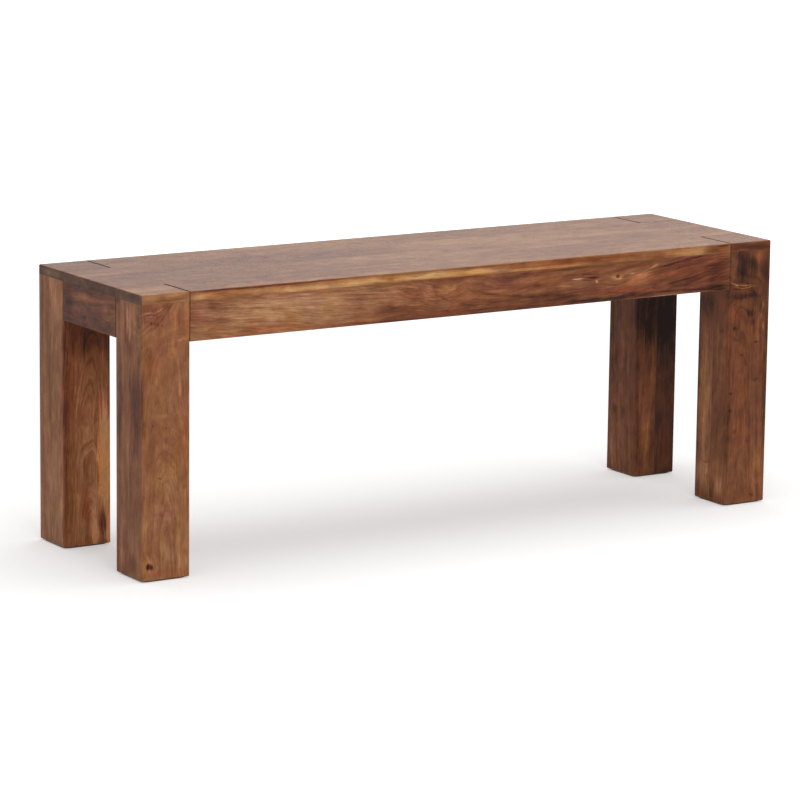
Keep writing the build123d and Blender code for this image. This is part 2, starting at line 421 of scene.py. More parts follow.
    folded = vector_node("ABSOLUTE", place)
    dirt = 0.0
    for joint in joints:
        middle, half = middle_and_half(joint.low, joint.high)
        away = vector_node("ABSOLUTE", vector_node("SUBTRACT", folded, middle))
        away = length_of(vector_node("MAXIMUM", vector_node("SUBTRACT", away, half), (0, 0, 0)))
        in_joint = ramped(away, dirt_core_share * joint.width, joint.width, joint.depth, 0.0)
        dirt = math_node("MAXIMUM", in_joint, dirt)
    shade = math_node("MULTIPLY", shade, math_node("SUBTRACT", 1.0, dirt))

    # An arris is where the second least distance to the block's faces is small. There the colour is painted
    # paler, partly as wear and partly as a painted highlight
    middle, half = middle_and_half(*block)
    inside = vector_node("ABSOLUTE", vector_node("SUBTRACT", folded, middle))
    inside = node(tree, "SeparateXYZ", vector_node("SUBTRACT", half, inside))
    x, y, z = inside.outputs
    second = math_node("MINIMUM", math_node("MAXIMUM", x, y), z)
    second = math_node("MAXIMUM", math_node("MINIMUM", x, y), second)
    wear_and_highlight = ramped(second, 0.0, wear_and_highlight_width, wear_and_highlight_paleness, 0.0)
    shade = math_node("ADD", shade, math_node("MULTIPLY", wear_and_highlight, fibres))
    colour = scaled(colour, shade)

    # The fine relief of fibres and pores, and the lacquer, duller in the pores and in the dirt
    relief = fill(tree, node(tree, "Bump"), {
        "Strength": relief_strength, "Distance": relief_height,
        "Height": math_node("SUBTRACT", fibres, pores),
    })
    dull = math_node("MULTIPLY_ADD", dirt, dirt_roughness, roughness)
    dull = math_node("MULTIPLY_ADD", pores, pore_roughness, dull)
    surface = fill(tree, node(tree, "BsdfPrincipled"), {
        "Base Color": colour, "Normal": relief, "Roughness": dull, "Specular IOR Level": gloss,
    })
    tree.links.new(surface, output.inputs[0])
    slots = nodes[piece].data.materials
    slots.clear()
    slots.append(material)


seat_board = dict(band=0.26, lines=0.17, mottle=0.26, fibre=0.3, tone=0.575, tint=(0.97, 1.052, 0.985))
# The seat is painted darker towards its left end, a painted shade that stands in for the weaker sheen there,
# and its front edge runs through gold and brown
painted_left_shade = Mark((-640, 0, 450), (520, 500, 90), -15, (100, 98, 95))
sapwood_gold = (103, 95, 80)
rusty = (106, 93, 80)
wine = (108, 90, 90)
edge = partial(on_front, -outer_x, -outer_y)
marks = (
    painted_left_shade,
    edge(330, 10, 290, 9, 28, (103, 97, 88)),
    edge(308, 11, 44, 7, 18),
    edge(405, 8, 60, 3.4, 10),
    edge(480, 15.6, 150, 4.4, -24),
    edge(440, 14, 80, 3.4, -8),
    edge(420, 4.6, 120, 2.4, 6, rusty),
    edge(578, 12, 60, 6, -8, (103, 96, 90)),
    edge(262, 11, 40, 4, 12, sapwood_gold),
    edge(96, 11, 18, 4, 18),
    edge(116, 8, 20, 4, 12, rusty),
    edge(200, 1.8, 106, 2.2, -30, (110, 88, 84)),
    edge(335, 1.6, 80, 1.4, -24),
    edge(150, 8, 44, 3, 2, (110, 90, 84)),
    edge(446, 9, 8, 3.4, -18, (110, 88, 66)),
    edge(470, 12, 8, 4, -6, rusty),
    edge(545, 10, 90, 7, 28, sapwood_gold),
    edge(622, 11, 34, 5, 16, sapwood_gold),
    edge(640, 2, 110, 2.2, -10, rusty),
    edge(690, 7, 44, 4, -5, (110, 88, 76)),
    edge(690, 12, 24, 3, 10, sapwood_gold),
    edge(850, 8, 150, 9, 4, (105, 93, 80)),
    edge(772, 13.2, 96, 3.2, 28, (112, 89, 80)),
    edge(735, 6, 40, 3, 6, (112, 88, 74)),
    edge(820, 5, 110, 3.8, -13, rusty),
    edge(905, 12, 60, 2.4, 12, rusty),
    edge(1030, 8, 44, 9, 24, (106, 94, 74)),
    edge(960, 9, 24, 7, -8, rusty),
    edge(1088, 8, 24, 7, -24, (108, 90, 70)),
    edge(1098, 8, 8, 3, 10, rusty),
    edge(1100, 2.2, 13, 2.4, -34),
    edge(1100, 10, 14, 4, 4, (110, 92, 74)),
    Mark((-300, -160, 452), (230, 16, 8), 14, (104, 99, 84)),
    Mark((260, -162, 452), (260, 14, 8), 5, (103, 99, 88)),
)
solid_wood(
    "seat_front_stave", "x", (0, -150, 330), seed=1, joints=(cap_groove, cap_seam),
    marks=marks, **seat_board,
)
for stave, pith, seed, joints in (
    ("seat_inner_front_stave", (0, -20, 300), 2, (cap_hairline,)),
    ("seat_inner_back_stave", (0, 70, 310), 3, (cap_hairline,)),
    ("seat_back_stave", (0, 110, 320), 4, (cap_groove, cap_seam)),
):
    solid_wood(stave, "x", pith, seed=seed, joints=joints, marks=(painted_left_shade,), **seat_board)


# The corner caps: four blocks as thick as the seat, glued and dowelled over the legs. Their grain runs
# the same way as the seat's, so the bench's ends show dark end grain. The front right one is heartwood.
cap_joints = (cap_groove, cap_seam, cap_hairline)
left_end = partial(on_left, -outer_x, outer_y)
marks = (
    Mark((-560, -130, 452), (60, 60, 10), 0, (105, 97, 82)),
    edge(16, 5, 20, 6, 12, (106, 93, 92)),
    edge(62, 4, 24, 4, 16, (108, 93, 78)),
    edge(50, 12, 30, 3, -10),
    left_end(322, 6, 22, 8, -22, (98, 90, 104)),
    left_end(290, 6, 16, 8, -12, (98, 92, 104)),
)
solid_wood(
    "corner_cap_front_left", "x", (-560, -190, 370), seed=10, joints=cap_joints,
    marks=marks, **seat_board,
)
solid_wood(
    "corner_cap_front_right", "x", (560, -120, 300), seed=11, joints=cap_joints,
    marks=(edge(1158, 9, 80, 11, -32, (106, 92, 84)), edge(1150, 12.5, 44, 2.6, 8)),
    **seat_board | dict(band=0.1, lines=0.06, mottle=0.14),
)
solid_wood(
    "corner_cap_back_left", "x", (-560, 150, 340), seed=12, joints=cap_joints,
    # The painted shade towards the seat's left end reaches this cap too
    marks=(painted_left_shade, left_end(44, 8, 34, 8, 38)),
    **seat_board,
)
solid_wood("corner_cap_back_right", "x", (560, 110, 350), seed=13, joints=cap_joints, **seat_board)


# The legs: each is two boards glued face to face into an 84 mm post, so two of its sides are one board
# wide and the other two show both. The boards were cut from different places in the log.
pad_thickness = 2
corner_block = ((inner_x, inner_y, pad_thickness), (outer_x, outer_y, seat_top))
leg_board = dict(
    lines=0.18, mottle=0.26, fibre=0.33, ring=1.8, tint=(1.01, 1.02, 0.96), block=corner_block,
)
heart_purple = (98, 90, 108)
resin_orange = (112, 97, 78)
salmon = (105, 95, 96)
olive = (97, 103, 82)

# The front left leg
side = partial(on_left, -outer_x, -inner_y)
marks = (
    edge(45, 410, 80, 200, 5, deep=16),
    # The swirl of pale lines at the top, and the dark shadow beside it
    edge(8, 4, 74, 74, deep=30, push=60),
    edge(13, 225, 11, 80, -9, (96, 100, 102)),
    edge(42, 292, 18, 34, 7, (99, 102, 100)),
    edge(72, 428, 13, 20, 17, (99, 104, 106)),
    edge(44, 400, 13, 56, -3, (97, 104, 93)),
    edge(72, 376, 8, 30, 5, (99, 103, 105)),
    edge(22, 32, 30, 18, -12, heart_purple),
    edge(10, 28.5, 14, 1.5, 30, (98, 102, 104), turn=1),
    edge(31, 25, 12, 1.4, 26, (98, 102, 104), turn=-22),
    edge(12, 34.5, 15, 1.2, 24, (98, 102, 104), turn=-3),
    edge(34, 30, 8, 1.2, 16, turn=-28),
    edge(10, 38.5, 13, 1.3, 16, turn=1),
    edge(47, 19, 15, 6, -16, (102, 96, 94), turn=-10),
    edge(24, 46, 20, 3, -12, turn=14),
    edge(65, 38, 3, 20, -8, (100, 94, 106)),
    edge(79, 40, 5, 26, 10, wine),
    edge(58, 46, 4, 24, 5, resin_orange),
    edge(70, 72, 12, 3, 14, (112, 92, 84)),
    edge(55, 90, 4, 14, 10, resin_orange),
    # Fine arches and the small knots and dots below them
    edge(40, 205, 34, 80, deep=30, push=10),
    edge(18, 112, 10, 22, -8, wine),
    edge(65, 105, 3, 10, 6, heart_purple),
    edge(66, 152, 3, 22, 12, (105, 100, 74)),
    edge(72, 150, 2.6, 22, -8, heart_purple),
    edge(38, 191, 9, 5, 12),
    edge(20, 205, 1.6, 2, -16, rusty),
    edge(43, 211, 1.4, 2.2, -24, wine),
    edge(67, 238, 3, 40, -2, (97, 104, 80)),
    edge(76, 240, 5, 70, 0, (110, 90, 86)),
    edge(54, 276, 6, 22, 10, (104, 98, 84)),
    edge(31, 289, 3, 1.8, -24),
    edge(61, 307, 3, 5, -12, rusty),
    edge(76, 304, 5, 4, -10, rusty),
    edge(42, 344, 20, 6, -6, heart_purple),
    edge(46, 375, 6, 24, -12, (100, 94, 100)),
    edge(65, 405, 7, 44, 8, (103, 99, 86)),
    # The knot near the foot: a dark ring about a brown heart
    edge(13, 427, 20, 24, deep=16, push=9),
    edge(12, 424, 11, 13, 6, (105, 99, 88)),
    edge(13, 427, 6.4, 6, -80),
    edge(13.4, 427, 1.8, 1.8, 30, rusty),
    edge(40, 437, 30, 6, -5, wine),
    # On the left side, the front half of the V of reddish lines and the olive blotches
    side(47, 48, 5, 32, 26, salmon),
    side(60, 42, 8, 28, 24, (106, 97, 94)),
    side(51, 74, 2.2, 24, -22, (114, 89, 84), turn=6),
    side(46, 86, 5, 16, -17, (114, 89, 84)),
    side(72, 37, 6, 5, -15, (100, 102, 55)),
    side(77, 49, 5, 4, -15, (100, 102, 55)),
    side(75, 102, 7, 12, -16, (100, 102, 62)),
    side(65, 175, 24, 72, -30, (106, 97, 82)),
    side(46, 145, 3, 12, -20, (104, 96, 86)),
    side(58, 222, 2, 10, 10),
    side(60, 320, 30, 60, -5, (100, 98, 94)),
    side(54, 426, 14, 16, -20, (100, 95, 103)),
    side(76, 350, 8, 70, -10),
)
solid_wood(
    "leg_front_left_front_board", "z", (-560, -175, 0), lean=(0, -0.1, 0), tone=0.565, seed=20,
    marks=marks, **leg_board | dict(band=0.11),
)
marks = (
    side(4, 18, 14, 7, -26, turn=-14),
    side(20, 50, 12, 30, 8, salmon),
    side(38, 42, 5, 28, 26, salmon),
    side(31, 56, 2.4, 40, -24, (114, 89, 84), turn=-5),
    side(39, 80, 5, 20, -18, (114, 89, 84)),
    side(14, 180, 7, 90, -20, (94, 98, 104)),
    side(18, 425, 12, 20, 7),
    side(12, 300, 4, 70, -12, (95, 94, 108)),
    side(22, 170, 3, 8, -14, (96, 98, 100)),
    side(36, 265, 8, 34, 8, (100, 103, 86)),
    side(30, 185, 10, 40, -2, (105, 95, 94)),
    side(17, 400, 9, 50, 4, (114, 90, 92)),
    side(34, 400, 10, 50, -5),
)
solid_wood(
    "leg_front_left_back_board", "z", (-640, -60, 0), lean=(0.02, 0, 0), tone=0.555, seed=21,
    marks=marks, **leg_board,
)

# The back left leg
side = partial(on_left, -outer_x, outer_y)
front = partial(on_front, -outer_x, inner_y)
marks = (
    side(60, 230, 60, 260, 0, (102, 97, 93)),
    side(54, 40, 12, 34, 12, (105, 98, 95)),
    side(68, 46, 14, 34, 6, (102, 98, 97)),
    side(70, 92, 12, 14, -6),
    side(50, 180, 24, 90, -8, (98, 102, 86)),
    side(64, 390, 30, 120, 8),
    front(40, 330, 60, 150, 6, deep=12),
    front(40, 250, 90, 300, 0, (106, 93, 88), deep=12),
    # Painted shade at the top of this face, under the seat and beside the end rail
    front(42, 108, 70, 42, -30, deep=12),
    front(56, 132, 12, 12, 14, deep=12),
    front(8, 160, 10, 30, -12, olive, deep=12),
    front(10, 385, 9, 70, -10, (93, 101, 98), deep=12),
    front(54, 350, 9, 90, 15, (100, 101, 100), deep=12),
    front(54, 225, 8, 34, 8, deep=12),
    front(72, 300, 12, 130, 6, (102, 98, 100), deep=12),
    front(66, 432, 20, 14, 14, deep=12),
    front(78, 430, 8, 18, 24, deep=12),
    front(38, 128, 1.6, 34, -22),
    front(18, 180, 3, 60, -12, wine),
    # Arches in the middle, a golden stripe beside them, and the long dark knot under it
    front(46, 272, 24, 42, deep=20, push=8),
    front(54, 350, 26, 44, deep=20, push=7),
    front(47, 262, 14, 20, 6),
            front(68, 214, 7, 20, 8, (118, 86, 86)),
    front(55, 225, 6, 16, 10, (102, 100, 84)),
    front(73, 316, 11, 92, 48, (107, 97, 84), deep=9),
    front(64, 318, 3, 84, 8, (114, 92, 66), deep=9),
    front(54, 412, 10, 40, 16, (103, 99, 100), deep=9),
    front(81, 415, 5, 40, 24, (106, 95, 90), deep=9),
    front(72, 432, 12, 10, 10, deep=9),
    front(72, 240, 10, 26, 14, deep=9),
    front(74, 216, 8, 24, 10, deep=9),
    front(65, 318, 2.6, 84, 6, (112, 92, 68)),
    front(73, 318, 2.4, 80, -2, (94, 102, 92)),
    front(79, 330, 2.6, 60, 10, (106, 98, 72)),
    front(69, 418, 7, 30, -42, (100, 90, 105), deep=9),
    front(73.5, 420, 1.8, 30, -20, (93, 95, 106), turn=-6),
    front(69, 416, 3, 12, 14, wine),
    front(68, 410, 16, 44, deep=12, push=7),
    front(80, 420, 3, 30, 26, (112, 92, 84)),
    front(55, 430, 6, 26, 20, (108, 94, 90)),
    front(2, 260, 8, 240, -24),
    front(12, 300, 6, 160, -6, olive),
    front(44, 385, 14, 30, -8, wine),
    front(83, 180, 3, 70, -20, heart_purple),
)
solid_wood(
    "leg_back_left_front_board", "z", (-553, 86, 0), lean=(0, -0.1, 0), tone=0.62, seed=22,
    marks=marks, **leg_board | dict(lines=0.32, band=0.2, ring=1.25, fibre=0.42),
)
marks = (
    side(40, 24, 6, 12, 18, (108, 95, 88)),
    side(36, 30, 3, 12, -10, rusty),
    side(26, 60, 14, 50, -10, (104, 95, 90)),
    side(46, 190, 34, 110, -3, (99, 96, 90)),
    side(12, 70, 5, 70, -16, (100, 92, 102)),
    side(14, 260, 6, 160, -10, (96, 97, 103)),
    side(34, 180, 22, 90, -10, olive),
    side(25, 152, 7, 1.4, 12, turn=-12),
    side(30, 390, 20, 120, 4),
)
solid_wood(
    "leg_back_left_back_board", "z", (-650, 190, 0), lean=(0.01, 0.02, 0), tone=0.61, seed=23,
    marks=marks, **leg_board | dict(lines=0.12, fibre=0.24, mottle=0.28, tint=(1.03, 1.0, 0.92)),
)

# The back right leg
side = partial(on_left, inner_x, outer_y)
front = partial(on_front, inner_x, inner_y)
marks = (
    side(26, 246, 10, 20, -12, wine, deep=7),
    side(8, 200, 7, 110, -10, olive, deep=7),
    side(20, 338, 8, 11, -20, olive, deep=7),
    side(27, 327, 11, 7, 8, deep=7),
    side(45, 342, 8, 12, -16, deep=7),
    side(38, 292, 2.4, 4, 10, deep=7),
    side(56, 316, 4, 5, 8, deep=7),
    side(42, 410, 60, 110, 10),
    side(80, 350, 5, 60, 4, (110, 95, 85)),
    # Painted shade at the top of the left face, under the seat and the back rail
    side(42, 150, 60, 50, -7, (98, 102, 98)),
    front(20, 340, 12, 80, 16, (106, 95, 92), deep=9),
    front(22, 385, 12, 30, 6, olive, deep=9),
    front(30, 250, 10, 34, -10, deep=9),
    front(26, 428, 20, 16, 6, deep=9),
    side(18, 405, 14, 40, 13, deep=7),
    side(12, 192, 10, 34, -5, deep=7),
    side(56, 200, 26, 110, 4, deep=7),
    side(70, 296, 8, 20, 8, deep=7),
    # Painted shade at the top of the front face, under the seat and the back rail
    front(28, 160, 60, 64, -34, deep=14),
    front(3, 330, 4, 110, -10),
    front(12, 430, 12, 16, -4),
)
solid_wood(
    "leg_back_right_left_board", "z", (500, 40, 0), lean=(0.02, 0.03, 0), tone=0.36, seed=24,
    marks=marks, **leg_board | dict(lines=0.14, fibre=0.26),
)
marks = (
    # Painted shade at the top of the front face, under the seat and the back rail
    front(60, 165, 60, 80, -22, deep=14),
    front(48, 355, 8, 24, -10, heart_purple),
    front(54, 290, 7, 44, 5, olive),
    front(62, 262, 20, 40, -5, deep=9),
    front(62, 428, 18, 16, 7, (98, 103, 103), deep=9),
    front(68, 400, 10, 50, 6, wine),
    front(76, 436, 6, 10, 4, heart_purple),
)
solid_wood(
    "leg_back_right_right_board", "z", (600, 20, 0), lean=(0.02, 0, 0), tone=0.19, seed=25,
    marks=marks,
    **leg_board | dict(lines=0.14, fibre=0.26, band=0.12, mottle=0.16, tint=(0.97, 1.01, 0.95)),
)

# The front right leg
side = partial(on_left, inner_x, -inner_y, deep=7)
front = partial(on_front, inner_x, -outer_y)
marks = (
    front(40, 440, 80, 130, 14, deep=16),
    front(40, 66, 80, 56, -11, (100, 100, 93), deep=12),
    front(52, 40, 6, 24, -8),
    front(40, 160, 80, 90, -2, (102, 98, 92), deep=12),
    # The dark oval, the smile of pale lines below it, and the dark band under that
    front(30, 42, 44, 64, deep=30, push=30),
    front(30, 40, 15, 32, -12, (100, 100, 93), deep=8),
    front(30, 36, 9, 22, -10, (102, 90, 106), deep=9),
    front(48, 40, 9, 18, -6, (92, 100, 88), deep=8),
    front(40, 28, 6, 14, -6, (88, 108, 84)),
    front(20, 23, 8, 8, -6, heart_purple),
    front(60, 26, 10, 13, 22, (106, 91, 92)),
    front(6, 40, 7, 30, 8),
    front(78, 60, 5, 34, -8, wine),
    front(52, 58, 8, 18, -2, olive),
    front(64, 130, 14, 40, -4, (97, 100, 94)),
    front(9, 69, 11, 1.5, 36, (102, 97, 100), turn=26),
    front(28, 73, 20, 1.7, 46, (100, 97, 104), turn=3),
    front(16, 75.5, 12, 1.3, 32, (106, 100, 90), turn=12),
    front(36, 77.5, 17, 1.5, 38, (100, 97, 104), turn=-3),
    front(26, 70, 14, 1, 16, resin_orange, turn=4),
    front(28, 82, 20, 2, 10, rusty),
    front(34, 92, 36, 5.4, -16, (100, 92, 104), turn=1),
    front(15, 120, 12, 18, 8, rusty),
    # Specks of resin and small pin knots down the leg
    front(45, 123, 9, 7, -24, (108, 92, 80), turn=-8),
    front(48, 136, 6, 6, -18, wine),
    front(70, 110, 2, 8, 20, (98, 104, 90)),
    front(68, 128, 1.6, 5, 22, (98, 104, 90)),
    front(72, 145, 1.6, 7, 20, (98, 104, 90)),
    front(66, 112, 2, 9, -14, olive),
    front(72, 122, 2, 9, -14, olive),
    front(68, 180, 2, 12, -10, olive),
    front(72, 200, 1.8, 14, 10, olive),
    front(12, 145, 5, 4, -22, olive),
    front(10, 154, 3, 4, 10),
    front(14, 164, 5, 4, -16, olive),
    front(58, 172, 4.4, 2, -34, turn=-6),
    front(28, 190, 4.4, 2.2, -26, wine),
    front(62, 148, 3.4, 26, 24, resin_orange),
    front(53, 160, 2.6, 44, -14),
    front(59, 235, 9, 3.4, -16),
    front(8, 256, 4, 3, -20),
    front(8, 285, 4, 3, -16),
    front(18, 324, 5, 5, -14),
    front(43, 341, 4, 4, -12),
    front(56, 316, 2.4, 20, -12),
    front(3, 260, 5, 200, -12, olive),
    front(80, 250, 6, 150, -16, olive),
    front(68, 380, 10, 34, 6, (103, 100, 86)),
    front(70, 412, 10, 7, 8, salmon),
    front(56, 434, 6, 3, -16, turn=30),
    front(30, 300, 20, 90, 4, (105, 95, 92)),
    side(62, 150, 7, 10, -14, olive),
    side(76, 190, 7, 60, 6, (110, 94, 96)),
    side(62, 290, 12, 60, -5),
    side(58, 370, 22, 50, 12),
    side(66, 426, 18, 24, 14),
    side(64, 160, 18, 26, 7),
    side(62, 408, 22, 36, 22),
    side(66, 210, 16, 110, 8),
    side(66, 412, 10, 16, 12, salmon),
    side(50, 434, 12, 8, -12, olive),
    side(68, 104, 10, 10, 6, (112, 90, 92)),
)
solid_wood(
    "leg_front_right_front_board", "z", (545, -178, 0), lean=(0, -0.08, 0), tone=0.345, seed=26,
    marks=marks, **leg_board | dict(lines=0.15, fibre=0.3),
)
marks = (
    # Painted shade at the top of this face, under the front rail and the seat
    side(36, 112, 60, 26, -24, (97, 104, 92)),
    side(2, 230, 6, 180, -22, (96, 100, 100)),
    side(22, 285, 18, 130, 27, (102, 99, 98)),
    side(36, 280, 8, 150, 6),
    side(46, 410, 60, 40, 18),
    side(20, 250, 10, 60, -4, (100, 100, 92)),
    side(22, 300, 5, 50, 6, (112, 92, 94)),
    side(40, 282, 3, 18, 8),
    side(36, 381, 26, 2.4, -10),
    side(30, 385, 10, 2, 10),
    side(35, 407, 5, 8, -14, wine),
    side(20, 400, 20, 40, 6),
    side(10, 430, 6, 22, -14, heart_purple),
)
solid_wood(
    "leg_front_right_back_board", "z", (480, -100, 0), lean=(0.03, 0, 0), tone=0.445, seed=27,
    marks=marks, **leg_board | dict(lines=0.14, fibre=0.28),
)


# The rails: four boards on edge between the legs and flush with them, each tenoned into a leg board at
# both ends. The front one carries the figure that catches the eye.
rail_under = box_in_mm("back_rail")[0][2]
rail_thickness = 20
rail_inside, end_rail_inside = outer_y - rail_thickness, outer_x - rail_thickness
behind, rail_top = rail_inside - 2.5, seat_under + 1
rail_groove = Joint((inner_x, behind, rail_under), (inner_x, outer_y, rail_top), 1.1, 0.45)
end_rail_groove = Joint((end_rail_inside, inner_y, rail_under), (outer_x, inner_y, rail_top), 1.0, 0.4)
# Their blocks run on past the ends and the tops, which are hidden, so only the lower arrises are painted
# paler, as wear and as a painted highlight
past_long_rail, past_end_rail, past_top = 100, 31.5, 50
long_rail = dict(joints=(rail_groove,), block=(
    (-outer_x - past_long_rail, rail_inside, rail_under),
    (outer_x + past_long_rail, outer_y, seat_top + past_top),
))
end_rail = dict(joints=(end_rail_groove,), block=(
    (end_rail_inside, -inner_y - past_end_rail, rail_under),
    (outer_x, inner_y + past_end_rail, seat_top + past_top),
))
marks = (
    # The left part is pale and calm, with a purplish patch beside the leg and an orange lower edge
    edge(285, 46, 190, 50, 25, deep=20),
    edge(250, 40, 110, 22, 6),
    edge(290, 27, 190, 7, 8),
    edge(178, 44, 36, 22, 7),
    edge(440, 25, 44, 9, 16),
    edge(372, 24, 30, 6, 8),
    edge(530, 34, 50, 14, 7, (103, 98, 98)),
    edge(728, 72, 56, 8, -6),
    edge(890, 62, 36, 12, -7, (100, 97, 98)),
    edge(1085, 72.5, 30, 5, 16, rusty),
    edge(700, 60, 120, 13, -15, (97, 100, 93)),
    edge(690, 22, 90, 5, -12, (97, 100, 98)),
    edge(700, 40, 110, 8, -7, (100, 97, 98)),
    edge(870, 74, 80, 5, -28, (97, 97, 95)),
    edge(1084, 60, 22, 18, -10),
    edge(1060, 74, 60, 4, -8),
    edge(925, 38, 48, 12, 8),
    edge(1016, 40, 40, 12, 5, (100, 99, 100)),
    edge(1012, 64, 26, 5, -8),
    edge(250, 70, 90, 5, -4, (112, 92, 80)),
    edge(400, 75, 90, 3.4, -16, (108, 92, 90)),
    # Painted shade along the rail's lower arris
    edge(480, 77.6, 390, 1, -22),
    edge(108, 46, 20, 12, 6, (100, 94, 105)),
    edge(112, 58, 22, 8, 12),
    edge(124, 27, 6, 9, -12, turn=-55),
    edge(104, 30, 14, 12, 8, (100, 95, 103)),
    edge(119, 62, 9, 2.4, -16, turn=-14),
    edge(98, 26, 12, 6, -6, heart_purple),
    edge(264, 60, 14, 9, -6, rusty),
    edge(242, 59, 7, 4, -8),
    edge(310, 20, 40, 5, 6, salmon),
    edge(452, 64, 44, 14, -16, (102, 92, 96)),
    edge(455, 32, 40, 18, 6, (104, 96, 94)),
    edge(660, 46, 200, 40, 2, (104, 95, 93)),
    # Pinkish patches between soft curved lines, where the grain swirls in the middle
    edge(540, 34, 120, 40, curl=13),
    edge(538, 36, 64, 36, deep=40, push=16),
    edge(665, 36, 60, 26, deep=40, push=14),
    edge(508, 32, 3, 16, -12, turn=-58),
    edge(516, 36, 9, 16, 9, (102, 97, 98)),
    edge(550, 30, 17, 11, 13, (102, 96, 98)),
    edge(548, 34, 7, 4, -5, olive),
    edge(588, 38, 14, 20, 13, (103, 95, 99)),
    edge(568, 40, 5, 20, 6, (102, 96, 98)),
    edge(531, 39, 2.6, 9, -13, turn=-24),
    edge(548, 49, 18, 2.4, -16, turn=28),
    edge(578, 56, 20, 2, -8, turn=12),
    edge(585, 61, 30, 2, -10, turn=10),
    edge(540, 72, 90, 6, -14, (104, 95, 92)),
    edge(560, 17, 60, 3, -8, wine),
    edge(668, 30, 32, 9, -3, (98, 94, 108), turn=-6),
    edge(668, 31, 11, 4, 0, (94, 94, 114)),
    edge(668, 46, 50, 5, 17, (103, 95, 98), turn=3),
    edge(636, 48, 26, 2.6, -20, turn=14),
    edge(690, 56, 44, 2, -12, turn=7),
    edge(745, 59, 70, 3.4, -6, (100, 98, 92), turn=4),
    edge(725, 40, 9, 5, -14, rusty),
    edge(738, 32, 40, 9, 10, (104, 94, 94)),
    edge(762, 30, 8, 2, -10, rusty),
    edge(700, 74, 100, 5, -12, (100, 100, 90)),
    edge(788, 68, 30, 9, -14, (102, 98, 90)),
    edge(778, 47, 16, 2.2, 22, salmon, turn=4),
    edge(730, 40, 16, 6, -6),
    edge(815, 19, 60, 2.4, -16, (96, 103, 86)),
    edge(840, 24, 50, 2.4, 6, salmon),
    edge(740, 19, 60, 3, -12, wine),
    # The bright fleck, the dark ridges and the small knot in its pink halo
    edge(804, 36.2, 12, 1.4, 62, (100, 103, 92), turn=-2),
    edge(806, 41, 12, 2.4, 6, olive),
    edge(828, 30.4, 22, 1.5, -26, wine, turn=2),
    edge(836, 35.4, 13, 2, -36, wine, turn=5),
    edge(830, 33, 15, 0.9, 14, turn=3),
    edge(822, 38.6, 10, 1.2, -26),
    edge(796, 29, 16, 1.4, -14),
    edge(844, 42.6, 2.8, 3.2, 42),
    edge(870, 53, 8, 1.4, 16, resin_orange),
    edge(884, 38, 26, 16, deep=20, push=8),
    edge(884, 39, 12, 8, 30, (107, 94, 93)),
    edge(885, 37.5, 4.4, 3.4, -56, rusty),
    edge(890, 42, 4, 1.6, 16),
    edge(912, 35.4, 7, 1.6, 24),
    edge(925, 46, 36, 11, 18, (108, 94, 88), turn=-14),
    edge(948, 31, 30, 2, 14, resin_orange, turn=-20),
    edge(957, 28, 14, 1.6, 20, (102, 100, 96), turn=-20),
    edge(940, 44, 30, 10, 6, (105, 96, 95)),
    edge(905, 20, 70, 2.6, 0, (98, 103, 80), turn=-2),
    edge(900, 27, 60, 3, -6, wine, turn=-6),
    edge(1010, 23, 54, 1.6, -20, (108, 88, 86), turn=-8),
    edge(1060, 17.5, 70, 1.2, -18, turn=-2),
    # Reddish curved bands run up to the right, and the bottom right corner is nearly black
    edge(1030, 44, 110, 30, -16, (108, 91, 92)),
    edge(1090, 44, 26, 26, -15, (106, 92, 90)),
    edge(1050, 22, 60, 6, 6, wine, turn=-4),
    edge(1010, 56, 60, 2.2, -10, rusty, turn=-10),
    edge(1075, 34, 26, 2.4, -12, rusty),
    edge(1000, 40, 44, 3, 8, wine, turn=-12),
    edge(1060, 56, 30, 2.4, 10, salmon, turn=-10),
    edge(930, 64, 70, 3, 4, (114, 88, 90), turn=2),
    edge(880, 66, 60, 3, -10, rusty, turn=2),
    edge(960, 71, 90, 2.2, -16),
    edge(1030, 73, 60, 4, -8),
    edge(1086, 72, 34, 6, -40, turn=3),
    edge(826, 73, 50, 4, -14),
    edge(870, 58, 80, 8, -4, (110, 91, 92)),
    # Painted highlight along the lower arris near the right leg
    edge(990, 77.6, 96, 1.1, 28, salmon),
)
solid_wood(
    "front_rail", "x", (0, -100, 300), lean=(0, 0, 0.02), bow=(0, 0, 180),
    tone=0.47, tint=(0.985, 1.035, 1.02), seed=40,
    marks=marks, **long_rail | dict(lines=0.22, fibre=0.44, ring=2.6),
)
solid_wood("back_rail", "x", (0, 90, 300), lean=(0, 0, -0.05), tone=0.50, seed=41, **long_rail)
